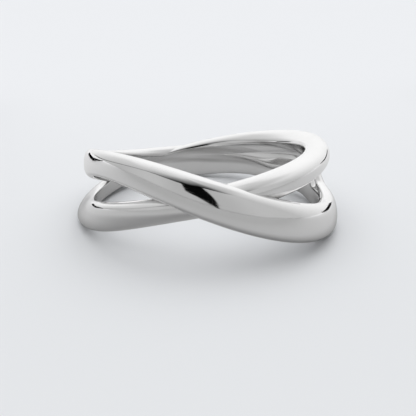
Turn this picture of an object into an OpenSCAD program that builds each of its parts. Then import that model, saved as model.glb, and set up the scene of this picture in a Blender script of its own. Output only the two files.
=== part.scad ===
// Twist ring: two rounded silver bands, tilted opposite ways, that cross at the front and run into each other at
// the back, all one casting. The over band passes outside the under band at the front. The ring lies on its side.
// Millimetres, +Z up. The origin is on the axis of the finger hole, half way up the hole's wall.
// Directions are degrees seen from above: 0 is the right hand side, 90 the back and -90 the front.

/* [Finger hole] */
// diameter of the round finger hole
finger_d = 17; // [14:0.2:22]

/* [Bands] */
// mean thickness of each band, from the finger side to the outside, before the hole is cut
band_t = 1.75; // [1.6:0.05:2]
// mean height of the over band's section
over_h = 2.65; // [2.45:0.05:2.95]
// mean height of the under band's section
under_h = 2.05; // [1.85:0.05:2.35]
// how square the section is: 2 is an ellipse, 4 is nearly a rounded rectangle
squareness = 2.5; // [2:0.1:4]

/* [Crossing] */
// how far each band rises and falls on its way round
tilt_h = 2.6; // [2.3:0.05:2.9]
// direction in which the over band is highest
over_high = -128; // [-134:1:-122]
// direction in which the under band is highest
under_high = -29; // [-35:1:-23]
// how far the over band's loop is moved to the right, which carries it over the under band at the front
over_shift = 0.96; // [0.81:0.01:1.11]
// how much the over band's top side swells where it runs into the under band at the back right
swell_h = 1.8; // [1.5:0.05:2.1]

/* [Part shown] */
// the sub-part that is drawn

/* [Hidden] */

finger_r = finger_d / 2;

// sections along each band, and points round each section
STEPS = 96;
POINTS = 24;

// the hole's cutter, its sides, and the direction of its seam
CUTTER_H = 20;
CUTTER_SIDES = 96;
CUTTER_SEAM = 193;

// A value that changes on the way round is its mean, then a wave with one crest in a turn, then with two, and so on.
// Columns of a wave: its size, and the direction of its first crest.
SIZE = 0;
CREST = 1;

// columns of a band: how far the section's centre stands off the hole's wall, how high it lies, the section's
// thickness and height, how far the section leans inward, and the swell of its top side
STAND_OFF = 0;
RISE = 1;
THICKNESS = 2;
HEIGHT = 3;
LEAN = 4;
SWELL = 5;

// columns of a swell: how much it adds, the direction of its middle, and how many degrees it reaches forward of that
// and back of it
ADDS = 0;
MIDDLE = 1;
REACH_FORWARD = 2;
REACH_BACK = 3;
NO_SWELL = [0, 0, 1, 1];

over = [
    [0.95, [over_shift, -21], [0.35, -40]],
    [-0.64, [tilt_h, over_high], [1.01, 56], [0.13, 51]],
    [band_t, [0.13, -27], [0.32, -72]],
    [over_h, [0.09, 39], [0.43, -62]],
    [-3, [19, -87], [6, -5]],
    [swell_h, 26, 21, 51],
];
under = [
    [0.78, [0.18, -20], [0.02, 55]],
    [-0.43, [tilt_h, under_high], [0.2, -87], [0.11, 7]],
    [band_t, [0.52, 1], [0.02, -88]],
    [under_h, [0.3, -154]],
    [25, [53, 101], [14, -13]],
    NO_SWELL,
];

// a value at direction a: the mean and what its waves add, from wave number count on
function round_at(value, a, count = 1) =
    count == len(value)
        ? value[0]
        : value[count][SIZE] * cos(count * (a - value[count][CREST])) + round_at(value, a, count + 1);

function power(v, p) = sign(v) * pow(abs(v), p);
function unit(v) = v / norm(v);

// the swell of a band's top side at direction a, which runs out softly to both sides
function swell_at(band, a) =
    let (
        swell = band[SWELL],
        away = (a - swell[MIDDLE] + 540) % 360 - 180,
        reach = away < 0 ? swell[REACH_FORWARD] : swell[REACH_BACK]
    )
    abs(away) < reach ? swell[ADDS] * pow(cos(90 * away / reach), 2) : 0;

// centre of a band's section at direction a
function centre(band, a) =
    let (radius = finger_r + round_at(band[STAND_OFF], a))
    [radius * cos(a), radius * sin(a), round_at(band[RISE], a) + swell_at(band, a) / 2];

// a point of the section: out is away from the finger and up is along the ring's axis, both square to the band
function section_point(band, a, b) =
    let (
        half_step = 180 / STEPS,
        along = unit(centre(band, a + half_step) - centre(band, a - half_step)),
        up = unit(cross([cos(a), sin(a), 0], along)),
        out = cross(along, up),
        lean = round_at(band[LEAN], a),
        leant_out = out * cos(lean) + up * sin(lean),
        leant_up = up * cos(lean) - out * sin(lean),
        x = round_at(band[THICKNESS], a) / 2 * power(cos(b), 2 / squareness),
        y = (round_at(band[HEIGHT], a) + swell_at(band, a)) / 2 * power(sin(b), 2 / squareness)
    )
    centre(band, a) + x * leant_out + y * leant_up;

module band(shape) {
    points = [
        for (i = [0:STEPS - 1])
            for (j = [0:POINTS - 1])
                section_point(shape, i * 360 / STEPS, j * 360 / POINTS)
    ];
    faces = [
        for (i = [0:STEPS - 1])
            for (j = [0:POINTS - 1])
                let (
                    next_i = (i + 1) % STEPS * POINTS,
                    next_j = (j + 1) % POINTS
                )
                [i * POINTS + j, i * POINTS + next_j, next_i + next_j, next_i + j]
    ];
    polyhedron(points = points, faces = faces);
}

module twist_band() {
    color("silver")
        difference() {
            union() {
                band(over);
                band(under);
            }
            rotate([0, 0, CUTTER_SEAM])
                cylinder(r = finger_r, h = CUTTER_H, center = true, $fn = CUTTER_SIDES);
        }
}

twist_band();
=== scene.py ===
import math

import bpy
import numpy as np
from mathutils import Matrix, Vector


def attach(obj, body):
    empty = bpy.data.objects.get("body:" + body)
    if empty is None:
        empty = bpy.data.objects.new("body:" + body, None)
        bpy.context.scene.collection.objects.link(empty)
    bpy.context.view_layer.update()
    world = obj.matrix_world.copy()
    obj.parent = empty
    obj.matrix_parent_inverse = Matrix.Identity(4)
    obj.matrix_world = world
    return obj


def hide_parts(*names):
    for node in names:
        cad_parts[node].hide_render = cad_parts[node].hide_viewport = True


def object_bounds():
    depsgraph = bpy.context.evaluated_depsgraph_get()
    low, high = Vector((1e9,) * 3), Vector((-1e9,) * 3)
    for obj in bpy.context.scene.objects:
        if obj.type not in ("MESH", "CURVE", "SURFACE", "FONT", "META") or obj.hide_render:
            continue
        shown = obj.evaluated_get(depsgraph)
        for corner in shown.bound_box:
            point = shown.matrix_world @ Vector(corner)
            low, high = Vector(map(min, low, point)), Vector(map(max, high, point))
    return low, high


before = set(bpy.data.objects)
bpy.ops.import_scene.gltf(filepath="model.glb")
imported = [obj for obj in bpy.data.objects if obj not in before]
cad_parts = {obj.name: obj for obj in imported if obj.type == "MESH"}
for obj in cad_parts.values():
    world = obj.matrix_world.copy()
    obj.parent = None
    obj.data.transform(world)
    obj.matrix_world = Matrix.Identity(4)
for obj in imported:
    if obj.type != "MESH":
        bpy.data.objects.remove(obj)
cad_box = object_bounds()

MM = 0.001


# The ring
# One casting of sterling silver: two rounded bands, tilted opposite ways, that cross at the front and run
# into each other at the back. Each band is a closed loop whose section leans, swells, rises and falls on its
# way round the finger. The whole is polished bright, so what shows is mostly what it mirrors.

FINGER_R = 8.5
# how square the section is: 2 is an ellipse, 4 is nearly a rounded rectangle
SQUARENESS = 2.5
# sections along each band, and points round each section
SECTIONS = 480
POINTS = 88
# how softly the finger side is rounded off, where the hole's wall cuts the bands
SOFT_EDGE = 0.16
# what filing and polishing took off the casting's surface
POLISHED_OFF = 0.02

# A value that changes on the way round is its mean, then a wave with one crest in a turn, then with two, and
# so on. A wave is its size and the direction of its first crest in degrees. A swell of the top side is what
# it adds, the direction of its middle, and how many degrees it reaches forward of that and back of it.
# Lengths are in millimetres and leans in degrees.
over_band = {
    "stand_off": [0.95, (0.96, -21), (0.35, -40)],
    "rise": [-0.64, (2.6, -128), (1.01, 56), (0.13, 51)],
    "thickness": [1.75, (0.13, -27), (0.32, -72)],
    "height": [2.65, (0.09, 39), (0.43, -62)],
    "lean": [-3, (19, -87), (6, -5)],
    "swell": (1.8, 26, 21, 51),
}
under_band = {
    "stand_off": [0.78, (0.18, -20), (0.02, 55)],
    "rise": [-0.43, (2.6, -29), (0.2, -87), (0.11, 7)],
    "thickness": [1.75, (0.52, 1), (0.02, -88)],
    "height": [2.05, (0.3, -154)],
    "lean": [25, (53, 101), (14, -13)],
    "swell": (0, 0, 1, 1),
}


def round_at(value, turn):
    """A value at a direction: its mean and what its waves add."""
    mean, *waves = value
    added = 0 * turn
    for count, (size, crest) in enumerate(waves, 1):
        added = added + size * np.cos(count * (turn - math.radians(crest)))
    return mean + added


def unit(v):
    return v / np.linalg.norm(v, axis=-1, keepdims=True)


def swell_at(band, turn):
    adds, middle, reach_forward, reach_back = band["swell"]
    away = (np.degrees(turn) - middle + 540) % 360 - 180
    reach = np.where(away < 0, reach_forward, reach_back)
    return adds * np.where(np.abs(away) < reach, np.cos(np.radians(90 * away / reach)) ** 2, 0)


def loop_of(band, turn):
    """Centres of a band's sections."""
    radius = FINGER_R + round_at(band["stand_off"], turn)
    height = round_at(band["rise"], turn) + swell_at(band, turn) / 2
    return np.stack([radius * np.cos(turn), radius * np.sin(turn), height], -1)


def bent(wave, power):
    return np.sign(wave) * np.abs(wave) ** power


def swept_band(band):
    """Points of a band, section by section. A section's thin way looks away from the finger, and leans."""
    turn = np.radians(np.arange(SECTIONS) * 360 / SECTIONS)
    round_section = np.radians(np.arange(POINTS) * 360 / POINTS)
    step = math.radians(0.5)
    along = unit(loop_of(band, turn + step) - loop_of(band, turn - step))
    outward = np.stack([np.cos(turn), np.sin(turn), 0 * turn], -1)
    up = unit(np.cross(outward, along))
    out = np.cross(along, up)
    lean = np.radians(round_at(band["lean"], turn))[:, None]
    thin_way = out * np.cos(lean) + up * np.sin(lean)
    tall_way = up * np.cos(lean) - out * np.sin(lean)
    half_thin = round_at(band["thickness"], turn) / 2 - POLISHED_OFF
    half_tall = (round_at(band["height"], turn) + swell_at(band, turn)) / 2 - POLISHED_OFF
    x = half_thin[:, None] * bent(np.cos(round_section), 2 / SQUARENESS)
    y = half_tall[:, None] * bent(np.sin(round_section), 2 / SQUARENESS)
    points = loop_of(band, turn)[:, None] + x[..., None] * thin_way[:, None]
    points = points + y[..., None] * tall_way[:, None]
    from_axis = np.hypot(points[..., 0], points[..., 1])
    kept = 0.5 * (from_axis + FINGER_R + np.sqrt((from_axis - FINGER_R) ** 2 + SOFT_EDGE ** 2))
    return points * np.stack([kept / from_axis, kept / from_axis, np.ones_like(kept)], -1)


def ring_mesh(name, bands):
    points, faces, uvs = [], [], []
    for band in bands:
        first = len(points)
        points.extend((swept_band(band) * MM).reshape(-1, 3).tolist())
        for i in range(SECTIONS):
            here = first + i * POINTS
            there = first + (i + 1) % SECTIONS * POINTS
            for j in range(POINTS):
                next_j = (j + 1) % POINTS
                faces.append((here + j, there + j, there + next_j, here + next_j))
                u, u2 = i / SECTIONS, (i + 1) / SECTIONS
                v, v2 = j / POINTS, (j + 1) / POINTS
                uvs.extend([(u, v), (u2, v), (u2, v2), (u, v2)])
    mesh = bpy.data.meshes.new(name)
    mesh.from_pydata(points, [], faces)
    layer = mesh.uv_layers.new(name="along_the_band")
    layer.data.foreach_set("uv", np.array(uvs, np.float32).ravel())
    mesh.polygons.foreach_set("use_smooth", [True] * len(faces))
    mesh.update()
    return mesh


def add_object(name, mesh, material):
    mesh.materials.append(material)
    thing = bpy.data.objects.new(name, mesh)
    bpy.context.scene.collection.objects.link(thing)
    return thing


def add_node(tree, kind, inputs, **settings):
    """A node with its settings. Inputs go by the socket's name or place: a number, a colour or an output."""
    node = tree.nodes.new(kind)
    for name, value in settings.items():
        setattr(node, name, value)
    for socket, value in inputs.items():
        if isinstance(value, bpy.types.NodeSocket):
            tree.links.new(value, node.inputs[socket])
        else:
            node.inputs[socket].default_value = value
    return node


def ramp(tree, value, start, end, at_start=0.0, at_end=1.0, soft=False):
    """start to end, laid over at_start to at_end, and held there beyond both."""
    inputs = {"Value": value, "From Min": start, "From Max": end, "To Min": at_start, "To Max": at_end}
    way = "SMOOTHSTEP" if soft else "LINEAR"
    return add_node(tree, "ShaderNodeMapRange", inputs, interpolation_type=way).outputs["Result"]


def maths(tree, operation, *values):
    return add_node(tree, "ShaderNodeMath", dict(enumerate(values)), operation=operation).outputs["Value"]


def noise(tree, place, scale, detail, **more):
    inputs = {"Vector": place, "Scale": scale, "Detail": detail, **more}
    return add_node(tree, "ShaderNodeTexNoise", inputs).outputs["Fac"]


def stretched(tree, place, scale, **more):
    inputs = {"Vector": place, "Scale": scale, **more}
    return add_node(tree, "ShaderNodeMapping", inputs).outputs["Vector"]


def blend(tree, factor, first, second):
    inputs = {"Factor": factor, "A": first, "B": second}
    return add_node(tree, "ShaderNodeMix", inputs, data_type="RGBA").outputs["Result"]


def vector_maths(tree, operation, *values):
    return add_node(tree, "ShaderNodeVectorMath", dict(enumerate(values)), operation=operation).outputs


def from_the_axis(tree, place):
    """How far a place lies from the finger hole's axis."""
    level = vector_maths(tree, "MULTIPLY", place, (1, 1, 0))["Vector"]
    return vector_maths(tree, "LENGTH", level)["Value"]


def bump(tree, height, strength, distance, invert=False, **more):
    inputs = {"Height": height, "Strength": strength, "Distance": distance, **more}
    return add_node(tree, "ShaderNodeBump", inputs, invert=invert).outputs["Normal"]


def shader_by_ray(tree, kind, others, these):
    """One shader for rays of a kind, and another for all others."""
    is_kind = tree.nodes.new("ShaderNodeLightPath").outputs[kind]
    return add_node(tree, "ShaderNodeMixShader", {"Fac": is_kind, 1: others, 2: these}).outputs["Shader"]


CLEAN = (0.935, 0.935, 0.935, 1)
SMEARED = (0.91, 0.91, 0.908, 1)
TARNISHED = (0.38, 0.377, 0.37, 1)

silver = bpy.data.materials.new("polished_silver")
silver.use_nodes = True
tree = silver.node_tree
coordinates = tree.nodes.new("ShaderNodeTexCoord").outputs

# soft smears a few millimetres wide, from handling
smears = noise(tree, coordinates["Object"], 420, 4, Roughness=0.6)
smeared = ramp(tree, smears, 0.42, 0.72)

# hairlines left by the polishing wheel, which ran along the bands
along_the_band = stretched(tree, coordinates["UV"], (16, 230, 1))
hairlines = ramp(tree, noise(tree, along_the_band, 1, 2, Distortion=0.4), 0.60, 0.72)

# scratches of wear, slanted across the bands
slanted = stretched(tree, coordinates["Object"], (600, 14000, 900), Rotation=(0.5, 0.35, 0.9))
scratches = ramp(tree, noise(tree, slanted, 1, 1), 0.69, 0.75)
marks = maths(tree, "MAXIMUM", hairlines, scratches)

# the finger side, which the wheel hardly reached
from_axis = from_the_axis(tree, coordinates["Object"])
finger_side = ramp(tree, from_axis, (FINGER_R + 0.05) * MM, (FINGER_R + 0.2) * MM, 1.0, 0.0)

# tarnish in the creases, where the bands run into each other
open_air = add_node(tree, "ShaderNodeAmbientOcclusion", {"Distance": 0.7 * MM}, samples=6).outputs["AO"]
crease = ramp(tree, open_air, 0.75, 0.3)
patchy = ramp(tree, smears, 0.3, 0.6, 0.35, 1.0)
in_creases = maths(tree, "MULTIPLY", crease, patchy)

# streaks of tarnish round the finger side, where nobody rubs it clean
round_the_finger = stretched(tree, coordinates["Object"], (90, 90, 1100))
streaks = ramp(tree, noise(tree, round_the_finger, 1, 2, Roughness=0.4), 0.5, 0.68, 0.2, 0.75)
tarnish = maths(tree, "MAXIMUM", in_creases, maths(tree, "MULTIPLY", streaks, finger_side))
colour = blend(tree, tarnish, blend(tree, smeared, CLEAN, SMEARED), TARNISHED)

# how rough it is: smears a little, and what each kind of mark adds
roughness = ramp(tree, smeared, 0.0, 1.0, 0.035, 0.075)
for mask, adds in ((marks, 0.1), (finger_side, 0.03), (tarnish, 0.12)):
    roughness = maths(tree, "MULTIPLY_ADD", mask, adds, roughness)

# the surface wanders by a few thousandths of a millimetre, and the marks lie a little under it
wander = bump(tree, noise(tree, coordinates["Object"], 330, 1), 1.0, 0.008 * MM)
surface = bump(tree, marks, 0.35, 0.0006 * MM, invert=True, Normal=wander)

shader = tree.nodes["Principled BSDF"]
shader.inputs["Metallic"].default_value = 1.0
tree.links.new(colour, shader.inputs["Base Color"])
tree.links.new(roughness, shader.inputs["Roughness"])
tree.links.new(surface, shader.inputs["Normal"])

ring = add_object("silver_ring", ring_mesh("silver_ring", [over_band, under_band]), silver)
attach(ring, "root")
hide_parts("twist_band")


# The table
# A pale matt sheet that the ring lies on, with painted shade that makes it a little darker toward the front.
# The silver mirrors a darker copy of it with more painted shade: duller than the camera sees it, and dullest
# close by, as if the ring shaded it.

TABLE_TOP = cad_box[0][2]
SHEET_HALF = 200 * MM
# the sheet's colours, with painted shade at the front: as the camera sees it, and darker as the silver
# mirrors it
SEEN_FRONT_SHADED = (0.73, 0.745, 0.765, 1)
SEEN_BACK_LIT = (0.80, 0.815, 0.84, 1)
MIRRORED_FRONT_SHADED = (0.40, 0.40, 0.40, 1)
MIRRORED_BACK_LIT = (0.87, 0.87, 0.88, 1)

paper = bpy.data.materials.new("pale_sheet")
paper.use_nodes = True
tree = paper.node_tree
place = tree.nodes.new("ShaderNodeNewGeometry").outputs["Position"]
toward_back = add_node(tree, "ShaderNodeSeparateXYZ", {"Vector": place}).outputs["Y"]
# painted shade: the sheet is painted darker at the front and brighter at the back, as if less light fell at
# the front
lit_toward_back = ramp(tree, toward_back, -30 * MM, 50 * MM, soft=True)

# the ring's own shade, as the silver sees it: darkest close round the ring, and gone farther out
away = ramp(tree, from_the_axis(tree, place), 8 * MM, 15 * MM)
own_shade = add_node(tree, "ShaderNodeValToRGB", {"Fac": away})
own_shade.color_ramp.interpolation = "EASE"
own_shade.color_ramp.elements[0].color = (0.80, 0.80, 0.80, 1)
own_shade.color_ramp.elements.new(0.33).color = (0.70, 0.70, 0.70, 1)
# the sheet as the silver mirrors it: a darker copy with deeper painted shade toward the front, times the
# ring's painted shade
shaded_toward_front = blend(tree, lit_toward_back, MIRRORED_FRONT_SHADED, MIRRORED_BACK_LIT)
shaded = vector_maths(tree, "MULTIPLY", shaded_toward_front, own_shade.outputs["Color"])["Vector"]

# the sheet as the camera sees it, with its painted shade toward the front
seen = tree.nodes["Principled BSDF"]
tree.links.new(blend(tree, lit_toward_back, SEEN_FRONT_SHADED, SEEN_BACK_LIT), seen.inputs["Base Color"])
mirrored = add_node(tree, "ShaderNodeBsdfPrincipled", {"Base Color": shaded})
for side in (seen, mirrored):
    side.inputs["Roughness"].default_value = 0.9
    side.inputs["Specular IOR Level"].default_value = 0.1
either = shader_by_ray(tree, "Is Glossy Ray", seen.outputs["BSDF"], mirrored.outputs["BSDF"])
tree.links.new(either, tree.nodes["Material Output"].inputs["Surface"])

sheet = bpy.data.meshes.new("table")
corners = [(x * SHEET_HALF, y * SHEET_HALF, TABLE_TOP) for x, y in ((-1, -1), (1, -1), (1, 1), (-1, 1))]
sheet.from_pydata(corners, [], [(0, 1, 2, 3)])
table = add_object("table", sheet, paper)


# The black cards
# Two low strips of black card, each folded once, that stand on the table outside the picture, one on each
# side. The silver mirrors them as dark lines at the ring's two ends.

LEFT_TALL = 3.4
LEFT_FOLD = [(-95, 34), (-30, 14), (-29, 33)]
RIGHT_TALL = 4.0
RIGHT_FOLD = [(110, 60), (40, 26), (34, 42)]

card = bpy.data.materials.new("black_card")
card.use_nodes = True
black = card.node_tree.nodes["Principled BSDF"].inputs
black["Base Color"].default_value = (0.004, 0.004, 0.004, 1)
black["Roughness"].default_value = 0.95
black["Specular IOR Level"].default_value = 0.0

for name, tall, fold in (("left_card", LEFT_TALL, LEFT_FOLD), ("right_card", RIGHT_TALL, RIGHT_FOLD)):
    low = [(x * MM, y * MM, TABLE_TOP) for x, y in fold]
    high = [(x * MM, y * MM, TABLE_TOP + tall * MM) for x, y in fold]
    strip = bpy.data.meshes.new(name)
    strip.from_pydata(low + high, [], [(0, 1, 4, 3), (1, 2, 5, 4)])
    standing = add_object(name, strip, card)


# The light
# A light tent, painted by direction: brightest behind the ring, a slightly darker wall at the left, a black
# hood over the front wall, and in the front wall the black opening for the lens. The ring and the camera see
# it. Bearings are degrees to the left of the front, and climbs are degrees above the table.

world = bpy.data.worlds.new("light_tent")
bpy.context.scene.world = world
world.use_nodes = True
tent = world.node_tree
looking = tent.nodes.new("ShaderNodeTexCoord").outputs["Generated"]


def toward(direction):
    """How much a ray looks in a direction: 1 straight at it, 0 square to it."""
    return vector_maths(tent, "DOT_PRODUCT", looking, direction)["Value"]


def fade(value, start, end, at_start=0.0, at_end=1.0):
    return ramp(tent, value, start, end, at_start, at_end, soft=True)


def product(first, *others):
    for other in others:
        first = maths(tent, "MULTIPLY", first, other)
    return first


def plus(value, amount):
    return maths(tent, "ADD", value, amount)


def between(value, rise_from, up, fall_from, down):
    """1 inside and 0 outside, with soft edges."""
    return product(fade(value, rise_from, up), fade(value, fall_from, down, 1.0, 0.0))


def painted(light, mask, level):
    """The light, times a level where the mask is 1."""
    return product(light, ramp(tent, mask, 0.0, 1.0, 1.0, level))


x, y, z = add_node(tent, "ShaderNodeSeparateXYZ", {"Vector": looking}).outputs
bearing = maths(tent, "DEGREES", maths(tent, "ARCTAN2", product(x, -1.0), product(y, -1.0)))
climb = maths(tent, "DEGREES", maths(tent, "ARCSINE", z))
off_front = maths(tent, "ABSOLUTE", bearing)

# the bright back and roof
light = ramp(tent, toward((0.03, 0.866, 0.5)), 0.0, 1.0, 0.52, 1.02)

# the left wall, which darkens toward the back and runs out softly into the roof
wall = product(between(bearing, 20, 50, 110, 150), fade(climb, 44, 56, 1.0, 0.0))
light = painted(light, wall, fade(bearing, 50, 118, 1.02, 0.84))

# the hood over the front wall, black at its lower edge and lighter above
HOOD_EDGE_SOFT = 1.2
hood_edge = fade(bearing, -14, 16, 46.0, 34.5)
over_edge = fade(climb, plus(hood_edge, -HOOD_EDGE_SOFT), hood_edge)
under_edge = fade(climb, plus(hood_edge, -HOOD_EDGE_SOFT), hood_edge, 1.0, 0.0)
hood_top = maths(tent, "ADD", hood_edge, fade(off_front, 0, 50, 42.0, 26.0))
hood_fade = ramp(tent, climb, hood_edge, hood_top, 1.0, 0.0)
light = painted(light, product(between(bearing, -62, -18, 22, 72), hood_fade, over_edge), 0.0)

# the front wall under the hood, a little darker than the rest
light = painted(light, product(between(bearing, -50, -14, 24, 60), under_edge), 0.88)

# a slit of shadow that slopes down along the left wall toward the back
slit_at = plus(fade(bearing, 48, 124, 37.0, 0.0), 0.6)
off_slit = maths(tent, "ABSOLUTE", maths(tent, "SUBTRACT", climb, slit_at))
light = painted(light, product(fade(off_slit, 0.4, 2.0, 1.0, 0.0), between(bearing, 10, 24, 125, 140)), 0.25)

# the faint line where the tent's floor meets its walls, and the floor itself, which darkens downward
floor_line = product(between(climb, -2.4, -1.4, -0.8, 0.2), fade(off_front, 70, 110, 1.0, 0.0))
light = painted(light, floor_line, 0.82)
light = product(light, fade(climb, -30, -1, 0.86, 1.0))

# a soft seam in the roof at the right
light = painted(light, product(between(bearing, -150, -110, -60, -20), between(climb, 46, 62, 74, 88)), 0.76)

# the black opening for the lens, with a sloping sill
OPENING_SLOPE = 0.42
sill = product(bearing, OPENING_SLOPE)
opening = product(
    between(bearing, -8.0, -5.0, 20.0, 22.5),
    fade(climb, plus(sill, -0.5), plus(sill, 2.0)),
    fade(climb, hood_edge, plus(hood_edge, 14.0), 1.0, 0.0),
)
light = painted(light, opening, 0.006)

# what the ring and the camera see, and the even light that falls on the table in its place, strongest from
# straight above
background = tent.nodes["Background"]
tent.links.new(light, background.inputs["Color"])
strength = fade(toward((0, 0.05, 0.999)), 0.5, 1.0, 0.5, 2.5)
even = add_node(tent, "ShaderNodeBackground", {"Strength": strength})
either = shader_by_ray(tent, "Is Diffuse Ray", background.outputs["Background"], even.outputs["Background"])
tent.links.new(either, tent.nodes["World Output"].inputs["Surface"])


# The camera
# It looks a little down on the ring from close by.

camera_data = bpy.data.cameras.new("camera")
camera_data.sensor_width = 36
camera_data.lens = 66.43
camera_data.clip_start = 5 * MM
camera_data.clip_end = 2
camera = bpy.data.objects.new("camera", camera_data)
bpy.context.scene.collection.objects.link(camera)
camera.location = (0.14 * MM, -58.92 * MM, 22.75 * MM)
camera.rotation_euler = (math.radians(66.12), 0, math.radians(-0.63))
bpy.context.scene.camera = camera
bpy.context.scene.view_settings.view_transform = "Standard"
